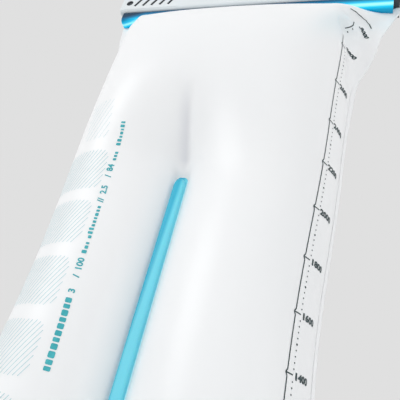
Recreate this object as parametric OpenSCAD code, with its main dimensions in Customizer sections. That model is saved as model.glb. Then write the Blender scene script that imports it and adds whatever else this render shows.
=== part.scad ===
// Soft hydration bladder: two welded film panels, a fold-and-slide closure,
// a lockable centre baffle, a quick-release port, a drink tube and a bite valve.
// Origin at the centre of the hang hole. +Z up, X across the width, -Y is the printed front.

/* [Bag] */
// Width of the flat film at the closure
flat_w = 180; // [172:2:200]
// Width across the filled body
body_w = 157; // [146:1:170]
// Width across the lower body
low_w = 168; // [150:2:184]
// Film length below the rails
film_len = 400; // [360:5:440]
// Bulge of each filled half beside the baffle
bulge = 34.5; // [26:0.5:38]
// Extra bulge above the baffle, as a share of the bulge
shoulder = 0.25; // [0:0.05:0.35]
// Half distance between the films along the locked baffle
valley = 14.2; // [13.4:0.2:16]
// Width of the weld around the edge
weld_w = 4; // [3:0.5:10]
// Film thickness
film_t = 0.6; // [0.4:0.1:0.8]
// Radius of the lower corners
corner_r = 34; // [20:2:44]

/* [Closure] */
// Height of the slider
slider_h = 22; // [20:1:26]
// Depth of the slider, front to back
slider_d = 18; // [17:1:22]
// Distance from the hang hole to the slider top
hang_drop = 14; // [12:1:20]
// Height of the rails below the slider
skirt_h = 8.5; // [6:0.5:14]
// Radius of the hang hole
hang_r = 5; // [4:0.5:6]
// Thickness of the hang tab
tab_t = 5; // [4:0.5:6]
// Number of slanted grip notches
notch_n = 5; // [0:1:7]

/* [Baffle] */
// Visible width of the baffle strip
strip_w = 6; // [5.5:0.5:9]
// Distance from the rails to the top of the strip
strip_top = 138; // [120:2:160]
// Length of the strip
strip_len = 164; // [140:4:168]

/* [Port and hose] */
// Distance of the port centre above the film's lower edge
port_up = 50; // [46:1:60]
// Outside diameter of the drink tube
tube_od = 9.5; // [9:0.1:10]
// Bore of the drink tube
tube_id = 6.35; // [6.2:0.05:6.6]

/* [Hidden] */
$fn = 48;

// half widths
flat_half = flat_w / 2;
body_half = body_w / 2;
low_half = low_w / 2;

// heights, from the top down
slider_top = -hang_drop;
slider_bot = slider_top - slider_h;
slider_mid = (slider_top + slider_bot) / 2;
rail_bot = slider_bot - 0.5 - skirt_h;
film_top = rail_bot - 0.4;        // the films part below this height
strip_hi = rail_bot - strip_top;
strip_lo = strip_hi - strip_len;
bag_bot = rail_bot - film_len;
port_z = bag_bot + port_up;

// slider section
wall = 2.4;
cavity_half = slider_d / 2 - wall;
slot_half = 3.6;                  // slot along the slider's underside
slider_x = -flat_half - 3;        // closed end

// film
film_gap = 0.05;                  // each film's inner face to the middle plane
fold_z = slider_top - wall - 3.7; // axis of the fold at the mouth
fold_y = 1.45;
cap_w = strip_w + 3;              // baffle cap against the film
flat_x = cap_w / 2 + 1;           // half width of the flat beside the baffle
web_slot_x = 1.1;                 // half width of the slot for the baffle web
hole_half = 8.2;                  // half height of the port opening
port_y = 22;                      // depth of the film's flat at the port

// port, along its own z
neck_z = -14;
neck_bore_r = 6;
poppet_r = 5.2;
housing_z = 2.65;
plug_z = 7;
plug_bore_r = 8;
plug_ring_z = 10.6;
latch_z = 14.2;
latch_t = 1.6;
tongue_w = 9;
spring_z = 9.5;
elbow_ring_z = 26;
elbow_z = 28;                     // axis of the elbow's downward arm

// hose and valve
barb_r = tube_id / 2 - 0.02;
arm_len = 12.4;
tube_y = -(port_y + elbow_z);
tube_z = port_z - arm_len - 0.1;
valve_x = 140;
valve_z = port_z - 50;
valve_ring_z = 13;

film_color = [0.95, 0.96, 0.97, 0.8];
rail_blue = [0.10, 0.56, 0.82];
light_blue = [0.33, 0.78, 0.90];
oring_black = [0.12, 0.12, 0.13];
stem_black = [0.16, 0.17, 0.18];
housing_grey = [0.20, 0.22, 0.24];
spring_steel = [0.75, 0.76, 0.78];

/* ---- helpers ---- */

function clamp(v, low, high) = min(high, max(low, v));
function smooth(v) = let (t = clamp(v, 0, 1)) t * t * (3 - 2 * t);
// steep at first, level from v = 1 on
function swell(v, power) = pow(1 - pow(1 - clamp(v, 0, 1), 2), power);
// two triangles sharing the diagonal a-c
function quad(a, b, c, d) = [[a, b, c], [a, c, d]];

// rounded rectangle, centred on x = 0
module rrect(half, y0, y1, r) {
    translate([r - half, y0]) square([2 * (half - r), y1 - y0]);
    translate([-half, y0 + r]) square([2 * half, y1 - y0 - 2 * r]);
    for (x = [r - half, half - r], y = [y0 + r, y1 - r]) translate([x, y]) circle(r);
}

// profile drawn in (Y, Z), run along X from x0 to x1
module along_x(x0, x1) {
    translate([x0, 0, 0]) rotate([90, 0, 90]) linear_extrude(x1 - x0) children();
}

// profile drawn in (X, Z), run along Y from y0 to y1
module along_y(y0, y1) {
    translate([0, y1, 0]) rotate([90, 0, 0]) linear_extrude(y1 - y0) children();
}

// port frame: local z points out of the bag (-Y), local y points up
module at_port() { translate([0, -port_y, port_z]) rotate([90, 0, 0]) children(); }

// valve frame: local z points up at the end of the tube
module at_valve() { translate([valve_x, tube_y, valve_z]) children(); }

// n copies evenly spaced on a circle
module around(n, r, first = 0) {
    for (i = [0:n - 1]) rotate([0, 0, first + 360 * i / n]) translate([r, 0, 0]) children();
}

// cylinder standing at height z
module post(r, z, h) { translate([0, 0, z]) cylinder(r = r, h = h); }

module ring(r0, r1, z0, z1) {
    translate([0, 0, z0]) difference() {
        cylinder(r = r1, h = z1 - z0);
        translate([0, 0, -1]) cylinder(r = r0, h = z1 - z0 + 2);
    }
}

module oring(mean_r, cord_r, z) {
    translate([0, 0, z]) rotate_extrude() translate([mean_r, 0]) circle(cord_r, $fn = 24);
}

// helical wire along z
module coil(mean_r, wire_r, height, turns) {
    n = 14; // steps in a turn
    m = 6;  // sides of the wire
    steps = n * turns;
    points = [
        for (i = [0:steps], k = [0:m - 1])
        let (turn = 360 * i / n, around_wire = 360 * k / m,
             reach = mean_r + wire_r * cos(around_wire),
             rise = wire_r + (height - 2 * wire_r) * i / steps)
        [reach * cos(turn), reach * sin(turn), rise + wire_r * sin(around_wire)]];
    sides = [
        for (i = [0:steps - 1], k = [0:m - 1])
        let (next = (k + 1) % m)
        each quad(i * m + k, (i + 1) * m + k, (i + 1) * m + next, i * m + next)];
    start_cap = [for (k = [0:m - 1]) k];
    end_cap = [for (k = [m - 1:-1:0]) steps * m + k];
    polyhedron(points, concat(sides, [start_cap], [end_cap]));
}

/* ---- closure ---- */

// hang tab: round eye whose tangents run down to a foot in the slider top
eye_r = hang_r + 4.5;
foot_half = 19;
foot_z = slider_top - 1;
foot_reach = norm([foot_half, foot_z]);
tangent_a = atan2(-foot_z, foot_half) + asin(eye_r / foot_reach);
tangent_len = sqrt(foot_reach * foot_reach - eye_r * eye_r);

module hang_tab() {
    top_x = foot_half - tangent_len * cos(tangent_a);
    top_z = foot_z + tangent_len * sin(tangent_a);
    along_y(-tab_t / 2, tab_t / 2) {
        circle(eye_r, $fn = 64);
        polygon([[-foot_half, foot_z], [foot_half, foot_z], [top_x, top_z], [-top_x, top_z]]);
    }
}

module slider_outline() { rrect(slider_d / 2, slider_bot, slider_top, 2.6); }

// round mark and slanted notches near the closed end, front and back
module slider_marks() {
    for (y = [-slider_d / 2, slider_d / 2]) {
        along_y(y - 1.3, y + 1.3)
            translate([-flat_half + 3, slider_mid - 3.2]) circle(2.6, $fn = 32);
        if (notch_n > 0) for (i = [0:notch_n - 1])
            translate([-flat_half + 10 + 6.5 * i, y, slider_mid - 2.6])
                rotate([0, 28, 0]) cube([2.2, 2.4, 9.4], center = true);
    }
}

module slider() {
    color([0.83, 0.86, 0.87]) difference() {
        union() {
            along_x(slider_x, flat_half + 4) difference() {
                slider_outline();
                translate([-cavity_half, slider_bot + wall])
                    square([2 * cavity_half, slider_h - 2 * wall]);
                translate([-slot_half, slider_bot - 1]) square([2 * slot_half, wall + 2]);
            }
            along_x(slider_x, slider_x + wall) slider_outline();
            hang_tab();
        }
        along_y(-tab_t, tab_t) circle(hang_r, $fn = 64);
        slider_marks();
    }
}

// rail on the +Y side: neck and lip held in the slider, skirt with rounded corners below
module rail_profile() {
    inner_y = 0.7;
    translate([inner_y, slider_bot - 0.6]) square([2.4, wall + 1.2]);
    translate([inner_y, slider_bot + wall + 0.35]) square([cavity_half - 1.2, 4.4]);
    translate([inner_y, rail_bot]) square([4.2, skirt_h]);
    translate([inner_y, rail_bot + 2.6]) square([6.8, skirt_h - 3.4]);
    translate([inner_y + 4.2, rail_bot + 2.6]) circle(2.6);
    translate([inner_y + 6, rail_bot + skirt_h - 0.8]) circle(0.8, $fn = 24);
    translate([inner_y, rail_bot + skirt_h - 1]) square([6, 1]);
}

// the neck and lip end short of the skirt at +X
module rail() {
    intersection() {
        along_x(-flat_half + 0.4, flat_half + 4.4) rail_profile();
        union() {
            translate([-200, -20, rail_bot - 5]) cube([400, 60, skirt_h + 5.3]);
            translate([-200, -20, rail_bot - 5]) cube([199 + flat_half, 60, 60]);
        }
    }
}
module front_rail() {
    color(rail_blue) mirror([0, 1, 0]) rail();
}
module rear_rail() {
    color(rail_blue) rail();
}

module rail_end_stop() {
    inner_x = flat_half + 4.45;
    color([0.13, 0.13, 0.15]) {
        along_x(inner_x, flat_half + 8.2) rrect(8.6, rail_bot + 5.6, slider_top - 4, 2.4);
        along_x(inner_x, flat_half + 7) rrect(5, slider_top - 6, slider_top - 1, 1.6);
    }
}

/* ---- film ---- */

// half width of the film at height z
function half_w(z) =
    let (down = rail_bot - z,
         up = z - bag_bot,
         waist = body_half + (flat_half - body_half) * (1 - smooth(down / 55)),
         w = down <= 0 ? flat_half
           : waist + (low_half - body_half) * smooth((down - 190) / 160))
    up < corner_r
        ? w - (corner_r - sqrt(max(0, corner_r * corner_r - pow(corner_r - up, 2))))
        : w;

// distance of the film from the middle plane
function puff(x, z, front) =
    let (down = film_top - z,
         up = z - bag_bot - weld_w,
         // dome across the width, inside the welds
         edge = smooth(down / 12),
         dome_half = half_w(z) - weld_w * edge - 0.2 * (1 - edge),
         dome = pow(1 - pow(clamp(abs(x) / dome_half, 0, 1), 2.3), 0.62),
         // filling out below the rails and above the bottom weld
         rise = down <= 0 ? 0 : swell(down / 46, 0.6),
         foot = up <= 0 ? 0 : swell(up / 70, 0.55),
         extra = shoulder * smooth(down / 40) * (1 - smooth((down - 85) / 60)),
         free_y = bulge * (1 + extra) * dome * rise * foot,
         // valley drawn in along the baffle, flat beside its strip
         lock = smooth((down - strip_top + 46) / 46) * smooth((z - strip_lo + 34) / 34),
         pulled_y = free_y + lock * exp(-pow(x / 23, 2)) * (valley - free_y),
         film_y = lock > 0.99 && abs(x) <= flat_x + 1.6 ? valley : pulled_y,
         // flat round the port on the front film
         port_share = front ? 1 - smooth((norm([x, z - port_z]) - 29) / 18) : 0)
    (down <= 0 || up <= 0) ? 0 : max(0, film_y + port_share * (port_y - film_y));

outer_n = 10; // steps between the port opening and the side weld

// column x positions at height z, from left to right
function column_xs(z) =
    let (w = half_w(z),
         weld_x = w - weld_w,
         hole_x = hole_half + 2,
         right = concat(
             [web_slot_x, flat_x, hole_x],
             [for (i = [outer_n - 1:-1:1])
                 weld_x + (hole_x - weld_x) * (1 - pow(1 - i / outer_n, 1.6))],
             [weld_x, w]))
    concat([for (i = [len(right) - 1:-1:0]) -right[i]], right);
nx = len(column_xs(0));

// rows of the shell: the folded mouth first, then heights down the bag
arc_n = 6;
fold_n = arc_n + 2;
rows_z = concat(
    [film_top],
    [for (down = [3, 8, 15, 24, 35, 48, 64, 80, 96, 112, 124]) rail_bot - down],
    [for (i = [0:8]) strip_hi + 1 - (strip_len + 2) * i / 8],
    [strip_lo - 14],
    [for (up = [22.5, hole_half, -hole_half, -22.5]) port_z + up],
    [for (up = [24, 16, 11, weld_w, weld_w / 2, 0]) bag_bot + up]);
nz = fold_n + len(rows_z);
function row_z(i) = i < fold_n ? slider_bot : rows_z[i - fold_n];

// open cells: the slot for the baffle web and the hole for the port
function open_cell(i, j, front) =
    let (upper = row_z(i),
         lower = row_z(i + 1),
         from_mid = abs(j - (nx / 2 - 1)),
         in_slot = upper <= strip_hi + 1.5 && lower >= strip_lo - 1.5 && from_mid < 0.1,
         in_hole = upper <= port_z + hole_half + 1 && lower >= port_z - hole_half - 1
                   && from_mid < 2.1)
    i >= fold_n && (in_slot || (front && in_hole));

// film thickness measured along Y, more where the film slopes
function thick_y(x, z, front) =
    let (h = 1.5,
         slope_x = (puff(x + h, z, front) - puff(x - h, z, front)) / (2 * h),
         slope_z = (puff(x, z + h, front) - puff(x, z - h, front)) / (2 * h))
    z > rail_bot - 1 || z < bag_bot + weld_w
        ? film_t
        : min(1.6, film_t * sqrt(1 + slope_x * slope_x + slope_z * slope_z));

// point on the film in row i; side is 0 towards the middle plane and 1 away from it.
// Both films fold over towards +Y, so the mirrored front film folds outside the rear one.
function film_point(i, x, side, front) =
    let (z = row_z(i),
         dir = front ? -1 : 1,
         r = fold_y - dir * (film_gap + side * film_t),
         a = 180 * (i - 1) / arc_n)
    i == 0 ? [x, dir * (fold_y + r), fold_z - 3.2]
    : i < fold_n ? [x, dir * (fold_y + r * cos(a)), fold_z + r * sin(a)]
    : [x, film_gap + puff(x, z, front) + side * thick_y(x, z, front), z];

// film panel on the +Y side as a closed shell
module film_shell(front) {
    n = nz * nx; // points on each face
    points = [
        for (side = [0, 1], i = [0:nz - 1])
        each [for (x = column_xs(row_z(i))) film_point(i, x, side, front)]];
    solid = [for (i = [0:nz - 2]) [for (j = [0:nx - 2]) !open_cell(i, j, front)]];
    function on(i, j) = i >= 0 && j >= 0 && i < nz - 1 && j < nx - 1 && solid[i][j];
    // wall joining the two faces from p to q, where the neighbour cell is missing
    function rim(present, p, q) = present ? [] : quad(p, p + n, q + n, q);
    faces = [
        for (i = [0:nz - 2], j = [0:nx - 2]) if (solid[i][j])
        let (a = i * nx + j, b = a + 1, c = a + nx + 1, d = a + nx)
        each concat(
            quad(a, b, c, d),
            quad(n + a, n + d, n + c, n + b),
            rim(on(i - 1, j), a, b),
            rim(on(i + 1, j), c, d),
            rim(on(i, j - 1), d, a),
            rim(on(i, j + 1), b, c))];
    polyhedron(points, faces);
}

module front_panel() {
    color(film_color) mirror([0, 1, 0]) film_shell(true);
}
module rear_panel() {
    color(film_color) film_shell(false);
}

/* ---- baffle ---- */

// upright layer of the strip with round ends
module strip_layer(width, y0, y1) {
    end = cap_w / 2;
    along_y(y0, y1) {
        translate([-width / 2, strip_lo + end]) square([width, strip_len - 2 * end]);
        for (z = [strip_lo + end, strip_hi - end])
            translate([0, z]) circle(width / 2, $fn = 40);
    }
}

// upright bar a little shorter than the strip
module web(width, y, depth) {
    translate([-width / 2, y, strip_lo + 1.5]) cube([width, depth, strip_len - 3]);
}

// half on the +Y side: stepped strip outside the film, web through it
module baffle_half() {
    out = valley + film_gap + film_t + 0.1;
    strip_layer(cap_w, out, out + 0.6);
    strip_layer(strip_w, out + 0.55, out + 2.2);
    strip_layer(strip_w - 1.8, out + 2.15, out + 3);
    web(1.8, 2.2, out - 1.9);
}

// the front half carries a tongue, the rear half the channel round it
module front_baffle() {
    color(light_blue) {
        mirror([0, 1, 0]) baffle_half();
        web(2.6, -2.6, 4.2);
    }
}
module rear_baffle() {
    color(light_blue) {
        baffle_half();
        difference() {
            web(6.8, -2.4, 5.4);
            translate([-1.45, -3, strip_lo]) cube([2.9, 4.9, strip_len]);
        }
    }
}

/* ---- port ---- */

module port_flange() {
    color([0.80, 0.84, 0.86]) at_port() difference() {
        union() {
            post(r = 20, z = 0.8, h = 1.2, $fn = 96);
            post(r = 7.6, z = neck_z, h = 15);
            ring(7, 14.5, 1.9, 2.6);
        }
        post(r = neck_bore_r, z = neck_z - 1, h = 20);
    }
}

// round seat for an end of the button spring, along local y
module spring_seat(y, h) {
    translate([0, y, spring_z]) rotate([-90, 0, 0]) cylinder(r = 2.3, h = h);
}

module port_socket() {
    color(housing_grey) at_port() difference() {
        union() {
            translate([0, 0, housing_z]) linear_extrude(17.4) rrect(13.5, -13.5, 13.5, 4);
            post(r = 15.5, z = housing_z, h = 3);
        }
        // plug bore, poppet opening
        post(r = plug_bore_r, z = plug_z, h = 20, $fn = 64);
        post(r = 4, z = 0, h = 10);
        // pocket of the latch plate, open at the top
        translate([-10.8, -12.2, latch_z - 0.2]) cube([21.6, 30, latch_t + 0.4]);
        spring_seat(9.7, 10);
    }
}

module latch_plate() {
    color([0.72, 0.74, 0.76]) at_port()
        translate([0, 0, latch_z]) linear_extrude(latch_t) difference() {
            union() {
                translate([-10.5, -10]) square([21, 23.2]);
                translate([-tongue_w / 2, 10]) square([tongue_w, 8.6]);
            }
            // opening lengthened upwards
            for (y = [0, 2.2]) translate([0, y]) circle(8.2, $fn = 64);
        }
}

module release_button() {
    color(light_blue) at_port() difference() {
        union() {
            translate([0, 15.9, 12.5]) rotate([-90, 0, 0])
                linear_extrude(3.4) rrect(7.5, -6.8, 6.8, 2.5);
            // ribs on the top face
            for (i = [-2:2]) translate([-5, 19.25, 12.2 + 2.2 * i]) cube([10, 0.6, 0.8]);
        }
        // socket for the tongue of the latch plate
        translate([-tongue_w / 2 - 0.05, 15, latch_z - 0.05])
            cube([tongue_w + 0.1, 3.7, latch_t + 0.1]);
        spring_seat(15.5, 1.4);
    }
}

module button_spring() {
    color(spring_steel) translate([0, -port_y - spring_z, port_z + 9.75])
        coil(mean_r = 1.6, wire_r = 0.32, height = 7.1, turns = 5);
}

module check_poppet() {
    color([0.90, 0.91, 0.92]) at_port() {
        post(r = poppet_r, z = -3.1, h = 1.5);
        post(r = 1.3, z = -2, h = 8.95, $fn = 32);
        post(r = 3.4, z = -1.65, h = 0.8, $fn = 32);
        post(r = 2.2, z = -4.6, h = 1.6, $fn = 32);
    }
}
module poppet_seal() {
    color([0.15, 0.15, 0.16]) at_port() ring(3.45, poppet_r, -1.55, -0.45);
}
module poppet_spring() {
    color(spring_steel) at_port() translate([0, 0, neck_z + 1.6])
        coil(mean_r = 3.4, wire_r = 0.45, height = 9.2, turns = 4);
}
module spring_retainer() {
    color([0.85, 0.86, 0.88]) at_port() translate([0, 0, neck_z]) difference() {
        cylinder(r = neck_bore_r - 0.03, h = 1.5);
        around(6, 4.1) post(r = 1.2, z = -1, h = 4, $fn = 24);
    }
}

module plug_stem() {
    color(stem_black) at_port() difference() {
        union() {
            // plug body with the O-ring groove and the latch groove
            difference() {
                post(r = plug_bore_r - 0.06, z = plug_z, h = 14.5, $fn = 64);
                ring(6.1, 9, plug_ring_z - 1, plug_ring_z + 1);
                ring(6, 9, 13.6, 16.4);
            }
            post(r = 10.5, z = 21.2, h = 2.2, $fn = 64);
            // spigot in the elbow, with a rim at its end
            post(r = 4.5, z = 23, h = 12.6);
            post(r = 5.1, z = 34, h = 1.6);
        }
        // bore, with four holes in the plug's inner end
        post(r = 3, z = 8.5, h = 40);
        around(4, 2.6, first = 45) post(r = 1, z = 6, h = 4, $fn = 24);
        ring(3.7, 6, elbow_ring_z - 1, elbow_ring_z + 1);
    }
}
module plug_oring() {
    color(oring_black) at_port() oring(7.03, 0.9, plug_ring_z);
}
module elbow_oring() {
    color(oring_black) at_port() oring(4.14, 0.4, elbow_ring_z);
}

// frame of the elbow's arm: local z points down
module at_arm() { translate([0, 0, elbow_z]) rotate([90, 0, 0]) children(); }

module swivel_elbow() {
    color(stem_black) at_port() difference() {
        union() {
            post(r = 8.4, z = 23.6, h = 13.6, $fn = 64);
            // arm, its end collar and the spigot in the tube
            at_arm() cylinder(r = 4.3, h = arm_len);
            at_arm() post(r = 5.6, z = 10.8, h = arm_len - 10.8);
            at_arm() cylinder(r = barb_r, h = 30);
        }
        post(r = 4.55, z = 23, h = 11.5);
        post(r = 5.25, z = 33.9, h = 1.9);
        at_arm() cylinder(r = 2.2, h = 40, $fn = 32);
    }
}

// path of the tube in the plane y = tube_y, from the elbow downwards.
// Each entry is [length, radius, left turn]; the last run ends under the valve,
// after the runs before it have dropped 59.
route = [
    [34, 0, 0], [0, 60, 180],
    [45, 0, 0], [0, 65, 90],
    [110, 0, 0], [0, 65, 90],
    [70, 0, 0], [0, 80, 90],
    [100, 0, 0], [0, 80, 90],
    [valve_z - tube_z + 59, 0, 0]];

// straight run or arc, then the rest from its end; local frame: +x forward
module run(i) {
    if (i < len(route)) {
        length = route[i][0];
        radius = route[i][1];
        turn = route[i][2];
        if (turn == 0) {
            rotate([0, 90, 0]) ring(tube_id / 2, tube_od / 2, 0, length);
            translate([length, 0, 0]) run(i + 1);
        } else {
            translate([0, radius, 0]) {
                rotate([0, 0, -90]) rotate_extrude(angle = turn)
                    translate([radius, 0]) difference() {
                        circle(tube_od / 2);
                        circle(tube_id / 2);
                    }
                rotate([0, 0, turn]) translate([0, -radius, 0]) run(i + 1);
            }
        }
    }
}
module drink_tube() {
    color([0.80, 0.90, 0.94, 0.6])
        translate([0, tube_y, tube_z]) rotate([90, 0, 0]) rotate([0, 0, -90]) run(0);
}

/* ---- bite valve ---- */

module valve_stem() {
    color(stem_black) at_valve() difference() {
        union() {
            post(r = barb_r, z = -14, h = 15);
            post(r = 6.6, z = 0.05, h = 3);
            post(r = 4, z = 2, h = 22);
            post(r = 4.6, z = 22.5, h = 1.5);
        }
        post(r = 2.1, z = -20, h = 60, $fn = 32);
        ring(3.1, 5, valve_ring_z - 1, valve_ring_z + 1);
    }
}
module valve_oring() {
    color(oring_black) at_valve() oring(3.58, 0.44, valve_ring_z);
}
module twist_collar() {
    color(housing_grey) at_valve() difference() {
        union() {
            post(r = 8.4, z = 3.15, h = 15.5, $fn = 64);
            around(12, 8.2) post(r = 0.7, z = 4.5, h = 11, $fn = 16); // grip ribs
            post(r = 6.2, z = 18.4, h = 7);
        }
        post(r = 4.05, z = 0, h = 40);
        post(r = 4.75, z = 22.3, h = 10);
    }
}

// sections of the sheath: [z, height, lower radius, upper radius]
sheath = [
    [18.75, 9, 8.2, 8.2],
    [27.7, 5, 8.2, 6],
    [32.6, 9, 6, 6],
    [41.5, 3.5, 6, 7.6],
    [44.9, 2.6, 7.6, 6.2]];

module bite_sheath() {
    color(light_blue) at_valve() difference() {
        union() {
            for (s = sheath)
                translate([0, 0, s[0]]) cylinder(r1 = s[2], r2 = s[3], h = s[1], $fn = 64);
        }
        post(r = 6.25, z = 18, h = 7.6);
        post(r = 4.6, z = 25, h = 19);
        translate([-3.6, -0.2, 40]) cube([7.2, 0.4, 12]); // slit
    }
}

slider();
front_rail();
rear_rail();
rail_end_stop();
front_panel();
rear_panel();
front_baffle();
rear_baffle();
port_flange();
port_socket();
release_button();
latch_plate();
button_spring();
check_poppet();
poppet_seal();
poppet_spring();
spring_retainer();
plug_stem();
plug_oring();
swivel_elbow();
elbow_oring();
drink_tube();
valve_stem();
valve_oring();
twist_collar();
bite_sheath();
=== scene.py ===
import bpy
import bmesh
import math
import numpy as np
from mathutils import Matrix, Vector


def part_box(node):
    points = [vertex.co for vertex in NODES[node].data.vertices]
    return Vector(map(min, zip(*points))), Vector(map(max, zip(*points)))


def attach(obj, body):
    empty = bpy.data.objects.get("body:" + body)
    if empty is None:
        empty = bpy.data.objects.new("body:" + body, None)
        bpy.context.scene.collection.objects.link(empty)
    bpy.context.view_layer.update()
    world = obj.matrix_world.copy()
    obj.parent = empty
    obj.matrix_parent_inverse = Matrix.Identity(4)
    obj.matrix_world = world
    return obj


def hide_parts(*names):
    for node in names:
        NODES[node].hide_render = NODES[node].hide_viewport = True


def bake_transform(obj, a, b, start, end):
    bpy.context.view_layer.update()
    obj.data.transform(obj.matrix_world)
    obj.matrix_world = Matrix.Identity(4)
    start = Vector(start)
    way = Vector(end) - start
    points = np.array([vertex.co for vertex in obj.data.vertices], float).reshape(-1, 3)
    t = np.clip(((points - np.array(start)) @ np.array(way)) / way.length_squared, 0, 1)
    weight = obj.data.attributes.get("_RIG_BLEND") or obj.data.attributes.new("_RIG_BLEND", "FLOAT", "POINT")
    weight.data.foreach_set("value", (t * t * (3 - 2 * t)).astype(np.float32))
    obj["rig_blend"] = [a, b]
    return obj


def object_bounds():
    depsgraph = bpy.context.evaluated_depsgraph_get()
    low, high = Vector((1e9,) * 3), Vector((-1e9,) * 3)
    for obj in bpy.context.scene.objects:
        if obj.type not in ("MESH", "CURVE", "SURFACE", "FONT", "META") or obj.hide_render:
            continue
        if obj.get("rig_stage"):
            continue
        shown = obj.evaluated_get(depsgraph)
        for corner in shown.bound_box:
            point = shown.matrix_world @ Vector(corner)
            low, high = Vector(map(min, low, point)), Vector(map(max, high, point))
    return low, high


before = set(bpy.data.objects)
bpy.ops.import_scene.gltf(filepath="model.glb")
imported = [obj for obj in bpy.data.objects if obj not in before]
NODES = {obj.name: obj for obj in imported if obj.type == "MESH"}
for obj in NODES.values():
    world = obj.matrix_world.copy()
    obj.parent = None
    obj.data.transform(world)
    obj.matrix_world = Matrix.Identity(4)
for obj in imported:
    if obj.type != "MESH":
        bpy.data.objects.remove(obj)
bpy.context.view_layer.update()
scene = bpy.context.scene
MM = 0.001
rng = np.random.default_rng(11)


def mmbox(node):
    lo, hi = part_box(node)
    return np.array(lo) / MM, np.array(hi) / MM


# ------------------------------------------------------------------ measures, from the frame
RAIL = float(mmbox("front_rail")[0][2])            # lower edge of the rails
BOT = float(mmbox("front_panel")[0][2])            # lower edge of the film
b_lo, b_hi = mmbox("front_baffle")
STRIP_LO, STRIP_HI = float(b_lo[2]), float(b_hi[2])
CAP_Y = float(-b_lo[1])                            # outer face of the baffle strip
FILM_Y = CAP_Y - 3.05                              # outer face of the film under the strip
f_lo, f_hi = mmbox("port_flange")
PORT_Z = float((f_lo[2] + f_hi[2]) / 2)
PORT_Y = 22.75
FOOT_W = float(b_hi[0])                            # half width of the strip's welded foot
CAP_W = FOOT_W * 2 - 3                             # width of the raised strip
HW = float(mmbox("front_panel")[1][0])             # half width at the closure
WELD = 2.6


def smooth(v):
    t = np.clip(v, 0, 1)
    return t * t * (3 - 2 * t)


# ------------------------------------------------------------------ flat pattern of the film
NU, NV = 67, 143
Q_TOP = (RAIL - STRIP_HI) + 13.0                   # along the film, rail to top of the strip
Q_BOT = Q_TOP + (STRIP_HI - STRIP_LO)
Q_PORT = Q_BOT + (STRIP_LO - PORT_Z) + 2.5
Q_END = Q_PORT + (PORT_Z - BOT) + 13.0
CORNER = 36.0
P_MID = 98.5
P_LOW = 103.0
CORNER_Q = 80.0
CORNER_K = 1.4


def pat_half(q):
    """Half width of the flat pattern at distance q below the rail."""
    q = np.asarray(q, float)
    w = HW + (P_MID - HW) * smooth(q / 80) + (P_LOW - P_MID) * smooth((q - 200) / 140)
    b = np.clip(Q_END - q, 0, CORNER)
    return w - (CORNER - np.sqrt(np.maximum(0, CORNER ** 2 - (CORNER - b) ** 2)))


def q_to_z(q):
    return np.interp(q, [0, Q_TOP, Q_BOT, Q_PORT, Q_END], [RAIL, STRIP_HI, STRIP_LO, PORT_Z, BOT])


def half3(z):
    d = RAIL - z
    w = 84 + (HW - 84) * (1 - smooth(d / 55)) + 6 * smooth((d - 190) / 160)
    b = np.clip(z - BOT, 0, 34)
    return w - (34 - np.sqrt(np.maximum(0, 34 ** 2 - (34 - b) ** 2)))


def puff(x, z, front):
    """Starting shape: distance of the filled film from the middle plane."""
    d = np.maximum(RAIL - z, 0)
    b = np.maximum(z - BOT - WELD, 0)
    wi = half3(z) - WELD * smooth(d / 12)
    s = np.clip(np.abs(x) / wi, 0, 1)
    p = (1 - s ** 2.3) ** 0.62
    rise = (1 - (1 - np.clip(d / 40, 0, 1)) ** 2) ** 0.6
    foot = (1 - (1 - np.clip(b / 70, 0, 1)) ** 2) ** 0.55
    y = 29 * (1 + 0.1 * smooth((d - 150) / 200)) * p * rise * foot
    lock = smooth((d - (RAIL - STRIP_HI) + 46) / 46) * smooth((z - STRIP_LO + 34) / 34)
    y = y + lock * np.exp(-(x / 23) ** 2) * (FILM_Y - y)
    if front:
        k = 1 - smooth((np.hypot(x, z - PORT_Z) - 21) / 22)
        y = y + k * (PORT_Y - y)
    return y


def pattern_grid(nu, nv):
    q = np.concatenate([np.linspace(0, Q_END - WELD, nv - 2), [Q_END - WELD / 2, Q_END]])
    w = pat_half(q)
    inner = np.linspace(-1, 1, nu - 4)
    rows = []
    for i in range(nv):
        wi = w[i] - WELD
        rows.append(np.concatenate([[-w[i], -w[i] + WELD / 2], inner * wi, [w[i] - WELD / 2, w[i]]]))
    P = np.array(rows)
    Q = np.repeat(q[:, None], nu, 1)
    return P, Q


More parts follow.
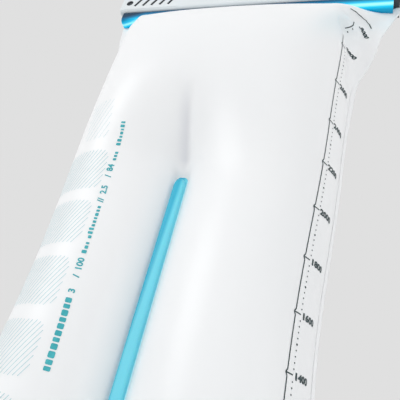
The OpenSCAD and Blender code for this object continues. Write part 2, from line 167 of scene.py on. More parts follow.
def relax_film(steps=230, iters=7):
    """Cloth simulation of the two welded films: pressure inside, films that hardly stretch, weld, rails, baffle and port held."""
    P, Q = pattern_grid(NU, NV)
    w = pat_half(Q[:, 0])
    Z = q_to_z(Q)
    scale = (half3(Z[:, 0]) / w)[:, None]
    Xs = P * scale
    X = np.zeros((2, NV, NU, 3))
    for k, sgn in ((0, -1.0), (1, 1.0)):
        X[k, :, :, 0] = Xs
        X[k, :, :, 1] = sgn * (puff(Xs, Z, k == 0) + 0.3)
        X[k, :, :, 2] = Z
    weld = (np.abs(P) > w[:, None] - WELD - 0.01) & (Q > 3) | (Q > Q_END - WELD - 0.01)
    rest = np.stack([P, Q], -1)

    def length(a, b):
        return np.linalg.norm(rest[a] - rest[b], axis=-1)

    sl = slice
    families = []
    for (di, dj, stiff_c) in ((0, 1, 0.35), (1, 0, 0.35), (1, 1, 0.12), (1, -1, 0.12)):
        for par in (0, 1):
            if di == 0:
                a = (sl(None), sl(par, NU - 1, 2)); b = (sl(None), sl(par + 1, NU, 2))
            elif dj == 0:
                a = (sl(par, NV - 1, 2), sl(None)); b = (sl(par + 1, NV, 2), sl(None))
            elif dj == 1:
                a = (sl(par, NV - 1, 2), sl(0, NU - 1)); b = (sl(par + 1, NV, 2), sl(1, NU))
            else:
                a = (sl(par, NV - 1, 2), sl(1, NU)); b = (sl(par + 1, NV, 2), sl(0, NU - 1))
            L = length(a, b)
            families.append((a, b, L, 1.0 if di == 0 or dj == 0 else 0.45, stiff_c, False))
    # bending: second neighbours may not come much closer than when flat
    for (di, dj) in ((0, 2), (2, 0)):
        for par in range(4):
            if par > 1 and False:
                continue
            if di == 0:
                a = (sl(None), sl(par, NU - 2, 4)); b = (sl(None), sl(par + 2, NU, 4))
            else:
                a = (sl(par, NV - 2, 4), sl(None)); b = (sl(par + 2, NV, 4), sl(None))
            na = np.zeros((NV, NU))[a].shape; nb = np.zeros((NV, NU))[b].shape
            n0, n1 = min(na[0], nb[0]), min(na[1], nb[1])
            if di == 0:
                a = (sl(None), sl(par, par + 4 * (n1 - 1) + 1, 4)); b = (sl(None), sl(par + 2, par + 2 + 4 * (n1 - 1) + 1, 4))
            else:
                a = (sl(par, par + 4 * (n0 - 1) + 1, 4), sl(None)); b = (sl(par + 2, par + 2 + 4 * (n0 - 1) + 1, 4), sl(None))
            families.append((a, b, length(a, b) * 0.985, 0.0, 0.25, True))

    # held points
    def held(k):
        strip = (np.abs(P) < 4.6) & (Q >= Q_TOP - 1) & (Q <= Q_BOT + 1)
        port = (np.hypot(P, Q - Q_PORT) < 20.5) if k == 0 else np.zeros_like(P, bool)
        return strip, port

    strip0, port0 = held(0)
    target = X.copy()
    for k, sgn in ((0, -1.0), (1, 1.0)):
        target[k][strip0] = np.stack([P[strip0], np.full(strip0.sum(), sgn * FILM_Y), STRIP_HI - (Q[strip0] - Q_TOP)], -1)
        if k == 0:
            target[k][port0] = np.stack([P[port0], np.full(port0.sum(), -PORT_Y), PORT_Z - (Q[port0] - Q_PORT)], -1)
        target[k][0] = np.stack([P[0], np.full(NU, sgn * 0.3), np.full(NU, RAIL + 0.4)], -1)
    pin = np.zeros((2, NV, NU), bool)
    pin[0] = strip0 | port0
    pin[1] = strip0
    pin[:, 0] = True

    # the corners under the rail stay slack
    press = smooth(Q / CORNER_Q + (1 - np.abs(P) / w[:, None]) * CORNER_K - 0.3)[None, :, :, None]
    V = np.zeros_like(X)
    X[..., 1] += rng.normal(0, 0.05, X.shape[:3]) * (~pin)
    sgn = np.array([-1.0, 1.0])[:, None, None]
    for step in range(steps):
        ease = min(1.0, (step + 1) / 25)
        du = np.gradient(X, axis=2)
        dv = np.gradient(X, axis=1)
        n = np.cross(du, dv)
        # front: du=+x, dv=-z gives normal (0, +1, 0) direction; turn it outward
        n *= np.sign((n[..., 1:2].mean()) or 1.0) * 1.0
        n[0] *= -1.0 if n[0, NV // 2, NU // 2, 1] > 0 else 1.0
        n[1] *= 1.0 if n[1, NV // 2, NU // 2, 1] > 0 else -1.0
        area = 10.5
        acc = 0.085 * ease * n / area * press
        V = V * (0.93 if step < steps * 0.6 else 0.86) + acc
        new = X + V
        old = X
        X = new
        for it in range(iters):
            for a, b, L, st, sc, bend in families:
                A = X[(slice(None),) + a]; B = X[(slice(None),) + b]
                d = B - A
                l = np.sqrt((d * d).sum(-1)) + 1e-9
                diff = l - L
                k = np.where(diff > 0, st, sc) * 0.5
                c = (k * diff / l)[..., None] * d
                X[(slice(None),) + a] += c
                X[(slice(None),) + b] -= c
            m = (X[0] + X[1]) * 0.5
            X[0][weld] = m[weld]
            X[1][weld] = m[weld]
            X[0][..., 1] = np.minimum(X[0][..., 1], np.where(weld, 2.0, -0.1))
            X[1][..., 1] = np.maximum(X[1][..., 1], np.where(weld, -2.0, 0.1))
            X[pin] = target[pin]
        V = X - old
        V[pin] = 0
    return P, Q, X


def finer(a, axis):
    """Doubles a grid along one axis with a four-point curve."""
    a = np.moveaxis(a, axis, 0)
    n = a.shape[0]
    out = np.empty((2 * n - 1,) + a.shape[1:])
    out[::2] = a
    pad = np.concatenate([2 * a[:1] - a[1:2], a, 2 * a[-1:] - a[-2:-1]])
    out[1::2] = (9 * (pad[1:n] + pad[2:n + 1]) - (pad[0:n - 1] + pad[3:n + 2])) / 16
    return np.moveaxis(out, 0, axis)


P, Q, X = relax_film()

def denser(a):
    """Twice the rows and columns, four times the columns around the strip."""
    a = finer(finer(finer(a, 0), 1), 1)
    cols = np.arange(a.shape[1])
    return a[:, (cols % 2 == 0) | (np.abs(cols - (a.shape[1] - 1) / 2) < 22)]


P, Q = denser(P), denser(Q)
X = np.stack([denser(X[k]) for k in (0, 1)])
NV2, NU2 = P.shape
WHALF = pat_half(Q[:, 0])


def along(a, sigma):
    """Running average down the rows."""
    r = int(sigma * 3)
    kern = np.exp(-0.5 * (np.arange(-r, r + 1) / sigma) ** 2)
    kern /= kern.sum()
    pad = np.concatenate([2 * a[:1] - a[r:0:-1], a, 2 * a[-1:] - a[-2:-r - 2:-1]])
    return np.apply_along_axis(lambda c: np.convolve(c, kern, "valid"), 0, pad)


# the weld holds the edge straight: quiet its ripple down the sides
near = smooth((np.abs(P) - (WHALF[:, None] - WELD - 9)) / 9) * smooth((Q - 26) / 34) * smooth((Q_END - 30 - Q) / 30)
for k in (0, 1):
    for ax, sg in ((0, 11.0), (1, 12.0), (2, 3.0)):
        calm = along(X[k, :, :, ax], sg)
        X[k, :, :, ax] += near * (calm - X[k, :, :, ax])

# slack flat ears under the ends of the closure, larger on the side of the scale
EAR_Z = [RAIL + 0.4, RAIL - 5, RAIL - 13.8, RAIL - 22.4, RAIL - 30.9, RAIL - 39.2, RAIL - 47.2, RAIL - 55.1, RAIL - 62.8, RAIL - 70.4, RAIL - 85]
EAR_R = [HW + 12.0, HW + 7.2, 91.2, 87.9, 87.5, 85.8, 83.0, 79.8, 78.7, 78.2, 77.2]
EAR_L = [HW, HW - 0.4, 88.6, 86.6, 84.2, 82.0, 80.2, 79.2, 78.4, 78.0, 77.2]
HUG = {1: np.interp(Q, [0, 20, 60], [72, 72, 79]), -1: np.interp(Q, [0, 20, 60], [80, 79, 81])}
for side_sign, ear in ((1, EAR_R), (-1, EAR_L)):
    for k in (0, 1):
        x, y, z = X[k, ..., 0], X[k, ..., 1], X[k, ..., 2]
        edge = along(np.interp(-z[:, :1] if side_sign < 0 else -z[:, -1:], -np.array(EAR_Z), ear), 4.0)
        hug = HUG[side_sign]
        flat = np.clip((side_sign * P - hug) / (WHALF[:, None] - 3 - hug), 0, 1)
        early = smooth((26 - Q) / 20)
        pull = (smooth(flat) * (1 - early) + flat ** 2.5 * early) * smooth((84 - Q) / 26) * smooth((side_sign * P - 40) / 20)
        goal = side_sign * (edge - (WHALF[:, None] - np.abs(P)) * 0.98)
        X[k, ..., 0] = x + pull * (goal - x)
        X[k, ..., 1] = y + pull * ((-0.35 if k == 0 else 0.35) - y)
        if side_sign > 0:
            X[k, ..., 2] += 5.4 * smooth((X[k, ..., 0] - (HW + 0.5)) / 4.5) * smooth((16 - Q) / 16)

# the weld lies back against the rear film along the sides
turn = math.radians(80) * smooth((Q - 62) / 50) * smooth((Q_END - 52 - Q) / 40)
reach = np.clip(np.abs(P) - (WHALF[:, None] - WELD), 0, WELD)
for k in (0, 1):
    X[k, ..., 0] -= np.sign(P) * reach * (1 - np.cos(turn)) * 0.8
    X[k, ..., 1] += reach * np.sin(turn)

# a soft crease runs up from the top of the strip, steeper on one side
axis_p = np.interp(Q, [Q_TOP - 42, Q_TOP - 29, Q_TOP - 12, Q_TOP], [-0.6, 0.2, 1.4, 2.2])
off = P - axis_p
depth = 3.2 * smooth((Q - (Q_TOP - 46)) / 24) * smooth((Q_TOP + 1 - Q) / 9)
fold = np.where(off < 0, np.exp(-(off / 5.5) ** 2), np.exp(-(off / 3.6) ** 2)) * depth
X[0, ..., 1] += fold
X[1, ..., 1] -= fold
# painted shade along the fold: this field darkens the film colour beside the crease, on top of the real dent
SHADE = np.where(off < -1.4, np.exp(-((off + 1.4) / 3.6) ** 2), np.exp(-((off + 1.4) / 1.7) ** 2)) * np.clip(depth / 3.2, 0, 1)
# painted cool shadow: a bluish tint on the film near the top right, under the end of the closure
COOL_PAINTED_SHADOW = np.exp(-(((P - 70) + 0.5 * (Q - 40)) / 9) ** 2 - ((Q - 44) / 20) ** 2) + 0.7 * np.exp(-((P - 88) / 7) ** 2 - ((Q - 12) / 8) ** 2)
WELDMASK = np.clip((np.abs(P) - (WHALF[:, None] - WELD)) / 1.2 + 0.5, 0, 1)
WELDMASK = np.maximum(WELDMASK * smooth(Q / 10), np.clip((Q - (Q_END - WELD)) / 1.2 + 0.5, 0, 1))


def drift(q):
    """The seam of the baffle wanders off the middle, most at its top."""
    return np.interp(q, DRIFT_Q, DRIFT_X)


DRIFT_Q = [Q_TOP - 95, Q_TOP - 60, Q_TOP - 25, Q_TOP, Q_TOP + 30, Q_TOP + 80, Q_BOT, Q_BOT + 22, Q_PORT - 12]
DRIFT_X = [0.0, -0.3, -1.6, -2.8, -2.8, -2.7, -2.2, -0.9, 0.0]
span = np.where(P < 0, 20.0, 36.0)
held = 1 - smooth((np.abs(P) - 7) / span)
for k in (0, 1):
    X[k, ..., 0] += drift(Q) * held
# hold the two films just apart through their thickness
X[0, ..., 1] -= 0.05
X[1, ..., 1] += 0.05


def surf_normals(G, outward):
    n = np.cross(np.gradient(G, axis=1), np.gradient(G, axis=0))
    n /= np.linalg.norm(n, axis=-1, keepdims=True) + 1e-12
    if n[NV2 // 2, NU2 // 2, 1] * outward < 0:
        n = -n
    return n


NORM = [surf_normals(X[0], -1), surf_normals(X[1], 1)]
WBLEND = np.exp(-(np.abs(X[..., 0]) / 34.0) ** 2.2) \
    * smooth((RAIL - X[..., 2] - 8) / 95) * smooth((X[..., 2] - (PORT_Z + 20)) / 40)
core = (np.abs(P) < 5.2) & (Q > Q_TOP - 1.5) & (Q < Q_BOT - 6)
WBLEND = np.where(core[None], 1.0, WBLEND)


def sample(k, p, q, lift=0.0):
    """Points on the film k at pattern coordinates (p, q), lifted off its surface, with their blend weights."""
    p = np.asarray(p, float); q = np.asarray(q, float)
    qs = Q[:, 0]
    i = np.clip(np.searchsorted(qs, q) - 1, 0, NV2 - 2)
    fq = np.clip((q - qs[i]) / (qs[i + 1] - qs[i]), 0, 1)
    out, nor, wt = [], [], []
    res = np.zeros(p.shape + (7,))
    data = np.concatenate([X[k], NORM[k], WBLEND[k][..., None]], -1)
    for row, f in ((i, 1 - fq), (i + 1, fq)):
        pr = P[row]
        j = np.clip((pr <= p[:, None]).sum(1) - 1, 0, NU2 - 2)
        a = pr[np.arange(len(p)), j]; b = pr[np.arange(len(p)), j + 1]
        t = np.clip((p - a) / (b - a), 0, 1)
        res += f[:, None] * (data[row, j] * (1 - t)[:, None] + data[row, j + 1] * t[:, None])
    n = res[:, 3:6] / np.linalg.norm(res[:, 3:6], axis=1, keepdims=True)
    return res[:, :3] + n * lift, res[:, 6]


# ------------------------------------------------------------------ node material helpers
def new_mat(name):
    m = bpy.data.materials.new(name)
    m.use_nodes = True
    nt = m.node_tree
    nt.nodes.clear()
    out = nt.nodes.new("ShaderNodeOutputMaterial")
    b = nt.nodes.new("ShaderNodeBsdfPrincipled")
    nt.links.new(b.outputs[0], out.inputs[0])
    return m, nt, b


def node(nt, kind, **inputs):
    n = nt.nodes.new(kind)
    for k, v in inputs.items():
        n.inputs[k.replace("_", " ")].default_value = v
    return n


def noise(nt, scale, detail=3.0, rough=0.5, coord="Object"):
    tc = nt.nodes.new("ShaderNodeTexCoord")
    n = node(nt, "ShaderNodeTexNoise", Scale=scale, Detail=detail, Roughness=rough)
    nt.links.new(tc.outputs[coord], n.inputs["Vector"])
    return n


def ramp(nt, src, stops):
    r = nt.nodes.new("ShaderNodeValToRGB")
    el = r.color_ramp.elements
    while len(el) < len(stops):
        el.new(0.5)
    for e, (pos, col) in zip(el, stops):
        e.position = pos
        e.color = col if len(col) == 4 else (*col, 1)
    nt.links.new(src, r.inputs[0])
    return r


def bump(nt, bsdf, src, strength, dist, prev=None):
    b = node(nt, "ShaderNodeBump", Strength=strength, Distance=dist)
    nt.links.new(src, b.inputs["Height"])
    if prev is not None:
        nt.links.new(prev.outputs[0], b.inputs["Normal"])
    nt.links.new(b.outputs[0], bsdf.inputs["Normal"])
    return b


def plastic(name, col, col2, rough, grain=900.0, bump_d=0.00004, **extra):
    """Moulded plastic: slight colour drift, fine grain, uneven gloss."""
    m, nt, b = new_mat(name)
    n = noise(nt, 35.0, 4.0)
    r = ramp(nt, n.outputs["Fac"], [(0.3, col), (0.7, col2)])
    nt.links.new(r.outputs[0], b.inputs["Base Color"])
    g = noise(nt, grain, 2.0)
    rr = nt.nodes.new("ShaderNodeMapRange")
    rr.inputs["To Min"].default_value = rough - 0.05
    rr.inputs["To Max"].default_value = rough + 0.08
    nt.links.new(n.outputs["Fac"], rr.inputs["Value"])
    nt.links.new(rr.outputs[0], b.inputs["Roughness"])
    bump(nt, b, g.outputs["Fac"], 0.35, bump_d)
    for k, v in extra.items():
        b.inputs[k.replace("_", " ")].default_value = v
    return m


# film: milky, soft sheen, faint cloudiness, the weld at the edge in a set colour, painted shade along the crease, a
# painted cool shadow at the top right
def film_material():
    m, nt, b = new_mat("film_milky_painted_shade")
    n = noise(nt, 9.0, 3.0)
    r = ramp(nt, n.outputs["Fac"], [(0.25, (0.945, 0.955, 0.965)), (0.75, (0.97, 0.975, 0.98))])
    at = nt.nodes.new("ShaderNodeAttribute")
    at.attribute_name = "weld"
    mix = nt.nodes.new("ShaderNodeMix")
    mix.data_type = "RGBA"
    mix.inputs["B"].default_value = (0.955, 0.965, 0.975, 1)
    nt.links.new(at.outputs["Fac"], mix.inputs["Factor"])
    nt.links.new(r.outputs[0], mix.inputs["A"])
    last = mix
    # painted shade: the first tint darkens the film along the fold above the strip, the second paints a cool bluish
    # shadow near the top right
    for attr, col, amount in (("crease_painted_shade", (0.74, 0.75, 0.80, 1), 0.6), ("cool_painted_shadow", (0.80, 0.91, 0.95, 1), 0.75)):
        aa = nt.nodes.new("ShaderNodeAttribute")
        aa.attribute_name = attr
        ml = node(nt, "ShaderNodeMath")
        ml.operation = "MULTIPLY"
        ml.inputs[1].default_value = amount
        nt.links.new(aa.outputs["Fac"], ml.inputs[0])
        m2 = nt.nodes.new("ShaderNodeMix")
        m2.data_type = "RGBA"
        m2.inputs["B"].default_value = col
        nt.links.new(ml.outputs[0], m2.inputs["Factor"])
        nt.links.new(last.outputs["Result"], m2.inputs["A"])
        last = m2
    nt.links.new(last.outputs["Result"], b.inputs["Base Color"])
    b.inputs["Roughness"].default_value = 0.34
    b.inputs["Subsurface Weight"].default_value = 0.25
    b.inputs["Subsurface Radius"].default_value = (1.0, 1.0, 1.0)
    b.inputs["Subsurface Scale"].default_value = 0.006
    b.inputs["IOR"].default_value = 1.42
    fine = noise(nt, 1400.0, 2.0)
    bp = bump(nt, b, fine.outputs["Fac"], 0.12, 0.00003)
    soft = noise(nt, 55.0, 2.0)
    bump(nt, b, soft.outputs["Fac"], 0.10, 0.0006, bp)
    return m


M_FILM = film_material()
M_SLIDER = plastic("slider_grey_painted_recess_shade", (0.66, 0.705, 0.72), (0.70, 0.74, 0.755), 0.42, 700.0)


def dark_marks(m):
    """Painted shade: the floors of the round mark and of the notches are painted dark."""
    nt = m.node_tree
    b = next(n for n in nt.nodes if n.type == "BSDF_PRINCIPLED")
    old = b.inputs["Base Color"].links[0].from_socket
    tc = nt.nodes.new("ShaderNodeTexCoord")
    sep = nt.nodes.new("ShaderNodeSeparateXYZ")
    nt.links.new(tc.outputs["Object"], sep.inputs[0])
    ab = node(nt, "ShaderNodeMath")
    ab.operation = "ABSOLUTE"
    nt.links.new(sep.outputs["Y"], ab.inputs[0])
    face = float(-mmbox("slider")[0][1])
    steps = []
    for src, lo, hi in ((ab.outputs[0], face - 0.12, face - 0.6), (ab.outputs[0], face - 2.2, face - 2.0),
                        (sep.outputs["X"], -HW + 44, -HW + 40), (sep.outputs["X"], -HW - 0.2, -HW + 0.2),
                        (sep.outputs["Z"], RAIL + 25, RAIL + 24.5), (sep.outputs["Z"], RAIL + 10.0, RAIL + 11.0)):
        mr = nt.nodes.new("ShaderNodeMapRange")
        mr.inputs["From Min"].default_value = lo * MM
        mr.inputs["From Max"].default_value = hi * MM
        nt.links.new(src, mr.inputs["Value"])
        steps.append(mr.outputs[0])
    cur_out = steps[0]
    for st in steps[1:]:
        ml = node(nt, "ShaderNodeMath")
        ml.operation = "MULTIPLY"
        nt.links.new(cur_out, ml.inputs[0])
        nt.links.new(st, ml.inputs[1])
        cur_out = ml.outputs[0]
    mix = nt.nodes.new("ShaderNodeMix")
    mix.data_type = "RGBA"
    # painted shade colour of the recess floors
    mix.inputs["B"].default_value = (0.075, 0.085, 0.095, 1)
    nt.links.new(cur_out, mix.inputs["Factor"])
    nt.links.new(old, mix.inputs["A"])
    nt.links.new(mix.outputs["Result"], b.inputs["Base Color"])


dark_marks(M_SLIDER)
M_DARK = plastic("dark_moulded", (0.030, 0.032, 0.036), (0.045, 0.047, 0.052), 0.45, 800.0)
M_CLEAR = plastic("frosted_clear", (0.72, 0.78, 0.82), (0.78, 0.84, 0.87), 0.30, 900.0)
M_RUBBER = plastic("seal_black", (0.018, 0.018, 0.020), (0.028, 0.028, 0.030), 0.62, 1200.0, 0.00006)
M_BUTTON = plastic("button_cyan", (0.10, 0.52, 0.72), (0.13, 0.58, 0.77), 0.36, 800.0)
M_SHEATH = plastic("silicone_cyan", (0.12, 0.50, 0.68), (0.15, 0.56, 0.73), 0.52, 1000.0, Subsurface_Weight=0.2, Subsurface_Scale=0.004)
M_STEEL = plastic("spring_steel", (0.55, 0.56, 0.58), (0.66, 0.67, 0.69), 0.28, 500.0, Metallic=1.0)


def rail_material():
    m, nt, b = new_mat("rail_blue")
    tc = nt.nodes.new("ShaderNodeTexCoord")
    sep = nt.nodes.new("ShaderNodeSeparateXYZ")
    nt.links.new(tc.outputs["Object"], sep.inputs[0])
    # runs from the inner edge of the underside, round the lower corner, up the face; the colours along it are painted
    # light: a painted highlight as a bright cyan band at the lower corner, painted shade in navy up the face under
    # the slider lip
    ab = node(nt, "ShaderNodeMath")
    ab.operation = "ABSOLUTE"
    nt.links.new(sep.outputs["Y"], ab.inputs[0])
    parts = []
    for src, lo, hi in ((ab.outputs[0], 0.7, 7.5), (sep.outputs["Z"], RAIL + 1.6, RAIL + 9.0)):
        mr = nt.nodes.new("ShaderNodeMapRange")
        mr.inputs["From Min"].default_value = lo * MM
        mr.inputs["From Max"].default_value = hi * MM
        mr.inputs["To Max"].default_value = 0.5
        nt.links.new(src, mr.inputs["Value"])
        parts.append(mr)
    add = node(nt, "ShaderNodeMath")
    add.operation = "ADD"
    nt.links.new(parts[0].outputs[0], add.inputs[0])
    nt.links.new(parts[1].outputs[0], add.inputs[1])
    # the painted highlight band runs lower towards the open end of the slider
    shift = nt.nodes.new("ShaderNodeMapRange")
    shift.inputs["From Min"].default_value = -72 * MM
    shift.inputs["From Max"].default_value = -88 * MM
    shift.inputs["To Max"].default_value = 0.30
    nt.links.new(sep.outputs["X"], shift.inputs["Value"])
    add2 = node(nt, "ShaderNodeMath")
    add2.operation = "ADD"
    nt.links.new(add.outputs[0], add2.inputs[0])
    nt.links.new(shift.outputs[0], add2.inputs[1])
    r = ramp(nt, add2.outputs[0], [(0.0, (0.0, 0.18, 0.34)), (0.26, (0.0, 0.34, 0.58)), (0.40, (0.01, 0.62, 0.92)), (0.48, (0.40, 1.0, 1.0)),
                                  (0.60, (0.01, 0.50, 0.80)), (0.78, (0.0, 0.13, 0.28)), (0.95, (0.0, 0.03, 0.07))])
    n = noise(nt, 60.0)
    mix = nt.nodes.new("ShaderNodeMix")
    mix.data_type = "RGBA"
    mix.blend_type = "MULTIPLY"
    mix.inputs["Factor"].default_value = 0.2
    nt.links.new(r.outputs[0], mix.inputs["A"])
    rc = ramp(nt, n.outputs["Fac"], [(0.3, (0.85, 0.9, 0.92)), (0.7, (1, 1, 1))])
    nt.links.new(rc.outputs[0], mix.inputs["B"])
    # painted glow: the painted light colours also feed a weak emission
    nt.links.new(r.outputs[0], b.inputs["Emission Color"])
    b.inputs["Emission Strength"].default_value = 0.18
    nt.links.new(mix.outputs["Result"], b.inputs["Base Color"])
    b.inputs["Roughness"].default_value = 0.16
    b.inputs["Specular IOR Level"].default_value = 0.22
    b.inputs["Coat Weight"].default_value = 0.08
    b.inputs["Coat Roughness"].default_value = 0.08
    b.inputs["Subsurface Weight"].default_value = 0.1
    b.inputs["Subsurface Radius"].default_value = (0.3, 0.8, 1.0)
    b.inputs["Subsurface Scale"].default_value = 0.006
    fine = noise(nt, 240.0, 2.0)
    bump(nt, b, fine.outputs["Fac"], 0.15, 0.00006)
    return m


M_RAIL_PAINTED_LIGHT = rail_material()


def tube_material():
    m, nt, b = new_mat("tube_clear")
    n = noise(nt, 30.0)
    r = ramp(nt, n.outputs["Fac"], [(0.3, (0.80, 0.92, 0.96)), (0.7, (0.88, 0.96, 0.98))])
    nt.links.new(r.outputs[0], b.inputs["Base Color"])
    b.inputs["Roughness"].default_value = 0.12
    b.inputs["Transmission Weight"].default_value = 0.55
    b.inputs["IOR"].default_value = 1.3
    fine = noise(nt, 300.0, 2.0)
    bump(nt, b, fine.outputs["Fac"], 0.1, 0.00005)
    return m


M_TUBE = tube_material()


def baffle_material(sgn):
    m, nt, b = new_mat("baffle_cyan_painted_light_front" if sgn < 0 else "baffle_cyan_painted_light_rear")
    tc = nt.nodes.new("ShaderNodeTexCoord")
    sep = nt.nodes.new("ShaderNodeSeparateXYZ")
    nt.links.new(tc.outputs["Object"], sep.inputs[0])
    wide = nt.nodes.new("ShaderNodeAttribute")
    wide.attribute_name = "across"
    # painted shade: a darker band down one side, wide at the top and narrowing below
    mr = nt.nodes.new("ShaderNodeMapRange")
    mr.inputs["From Min"].default_value = (STRIP_HI - 95) * MM
    mr.inputs["From Max"].default_value = (STRIP_HI + 5) * MM
    mr.inputs["To Min"].default_value = -2.2 * MM
    mr.inputs["To Max"].default_value = 1.5 * MM
    nt.links.new(sep.outputs["Z"], mr.inputs["Value"])
    sub = nt.nodes.new("ShaderNodeMath")
    sub.operation = "SUBTRACT"
    nt.links.new(wide.outputs["Fac"], sub.inputs[0])
    nt.links.new(mr.outputs[0], sub.inputs[1])
    edge = nt.nodes.new("ShaderNodeMapRange")
    edge.inputs["From Min"].default_value = -0.9 * MM
    edge.inputs["From Max"].default_value = 0.9 * MM
    nt.links.new(sub.outputs[0], edge.inputs["Value"])
    r = ramp(nt, edge.outputs[0], [(0.0, (0.016, 0.42, 0.61)), (1.0, (0.15, 0.65, 0.79))])
    # painted light: the welded foot of the strip is coloured pale and given a glow, lifting the contact shade beside
    # the strip
    foot = nt.nodes.new("ShaderNodeMath")
    foot.operation = "ABSOLUTE"
    nt.links.new(wide.outputs["Fac"], foot.inputs[0])
    fm = nt.nodes.new("ShaderNodeMapRange")
    fm.inputs["From Min"].default_value = (CAP_W / 2 + 0.05) * MM
    fm.inputs["From Max"].default_value = (CAP_W / 2 + 0.4) * MM
    nt.links.new(foot.outputs[0], fm.inputs["Value"])
    mix = nt.nodes.new("ShaderNodeMix")
    mix.data_type = "RGBA"
    mix.inputs["B"].default_value = (0.60, 0.88, 0.93, 1)
    nt.links.new(fm.outputs[0], mix.inputs["Factor"])
    nt.links.new(r.outputs[0], mix.inputs["A"])
    nt.links.new(mix.outputs["Result"], b.inputs["Base Color"])
    foot_painted_glow = node(nt, "ShaderNodeMath")
    foot_painted_glow.operation = "MULTIPLY"
    foot_painted_glow.inputs[1].default_value = 0.22
    nt.links.new(fm.outputs[0], foot_painted_glow.inputs[0])
    b.inputs["Emission Color"].default_value = (0.55, 0.88, 0.93, 1)
    nt.links.new(foot_painted_glow.outputs[0], b.inputs["Emission Strength"])
    b.inputs["Roughness"].default_value = 0.38
    b.inputs["Subsurface Weight"].default_value = 0.15
    b.inputs["Subsurface Scale"].default_value = 0.003
    fine = noise(nt, 700.0, 2.0)
    bump(nt, b, fine.outputs["Fac"], 0.25, 0.00004)
    return m


M_BAF_F, M_BAF_R = baffle_material(-1), baffle_material(1)


def ink(name, col, col2, rough=0.45):
    m, nt, b = new_mat(name)
    n = noise(nt, 420.0, 3.0)
    r = ramp(nt, n.outputs["Fac"], [(0.35, col), (0.75, col2)])
    nt.links.new(r.outputs[0], b.inputs["Base Color"])
    b.inputs["Roughness"].default_value = rough
    return m


INK_SCALE = ink("ink_scale", (0.004, 0.022, 0.026), (0.010, 0.040, 0.046))
INK_SIDE = ink("ink_side", (0.020, 0.33, 0.38), (0.045, 0.42, 0.47))
INK_HATCH = ink("ink_hatch", (0.40, 0.62, 0.66), (0.55, 0.74, 0.77))


# ------------------------------------------------------------------ mesh helpers
def mesh_object(name, verts, faces, mat, smooth_shade=True):
    me = bpy.data.meshes.new(name)
    me.from_pydata([tuple(v) for v in verts], [], faces)
    me.validate()
    me.update()
    o = bpy.data.objects.new(name, me)
    scene.collection.objects.link(o)
    me.materials.append(mat)
    if smooth_shade:
        me.polygons.foreach_set("use_smooth", [True] * len(me.polygons))
    return o


def set_blend(o, other, weights):
    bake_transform(o, "bladder", other, start=(0, 0, -0.05), end=(0, 0, -0.4))
    a = o.data.attributes["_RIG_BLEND"]
    a.data.foreach_set("value", np.asarray(weights, np.float32))


def film_object(name, k):
    sgn = -1 if k == 0 else 1
    idx = np.arange(NV2 * NU2).reshape(NV2, NU2)
    G = X[k]
    c = (P[:-1, :-1] + P[1:, 1:]) / 2
    cq = (Q[:-1, :-1] + Q[1:, 1:]) / 2
    keep = np.ones((NV2 - 1, NU2 - 1), bool)
    if k == 0:
        keep &= np.hypot(c, cq - Q_PORT) > 7.4
    keep &= ~((np.abs(c) < 0.9) & (cq > Q_TOP + 3) & (cq < Q_BOT - 3))
    a, b, d, e = idx[:-1, :-1][keep], idx[:-1, 1:][keep], idx[1:, 1:][keep], idx[1:, :-1][keep]
    faces = np.stack([a, b, d, e], -1)
    if sgn < 0:
        faces = faces[:, ::-1]
    o = mesh_object(name, (G.reshape(-1, 3) * MM), faces.tolist(), M_FILM)
    wa = o.data.attributes.new("weld", "FLOAT", "POINT")
    wa.data.foreach_set("value", WELDMASK.ravel().astype(np.float32))
    for attr, field in (("crease_painted_shade", SHADE), ("cool_painted_shadow", COOL_PAINTED_SHADOW if k == 0 else COOL_PAINTED_SHADOW * 0.3)):
        ta = o.data.attributes.new(attr, "FLOAT", "POINT")
        ta.data.foreach_set("value", field.ravel().astype(np.float32))
    bm = bmesh.new()
    bm.from_mesh(o.data)
    layer = bm.verts.layers.float.new("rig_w")
    bm.verts.ensure_lookup_table()
    wb = WBLEND[k].ravel()
    for v in bm.verts:
        v[layer] = float(wb[v.index])
    loose = [v for v in bm.verts if not v.link_faces]
    bmesh.ops.delete(bm, geom=loose, context="VERTS")
    bm.normal_update()
    w = [v[layer] for v in bm.verts]
    bm.verts.layers.float.remove(layer)
    bm.to_mesh(o.data)
    bm.free()
    sol = o.modifiers.new("thickness", "SOLIDIFY")
    sol.thickness = 0.0004
    sol.offset = -1.0
    set_blend(o, "baffle_front" if k == 0 else "baffle_rear", w)
    return o


film_front = film_object("film_front", 0)
film_rear = film_object("film_rear", 1)
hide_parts("front_panel")
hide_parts("rear_panel")


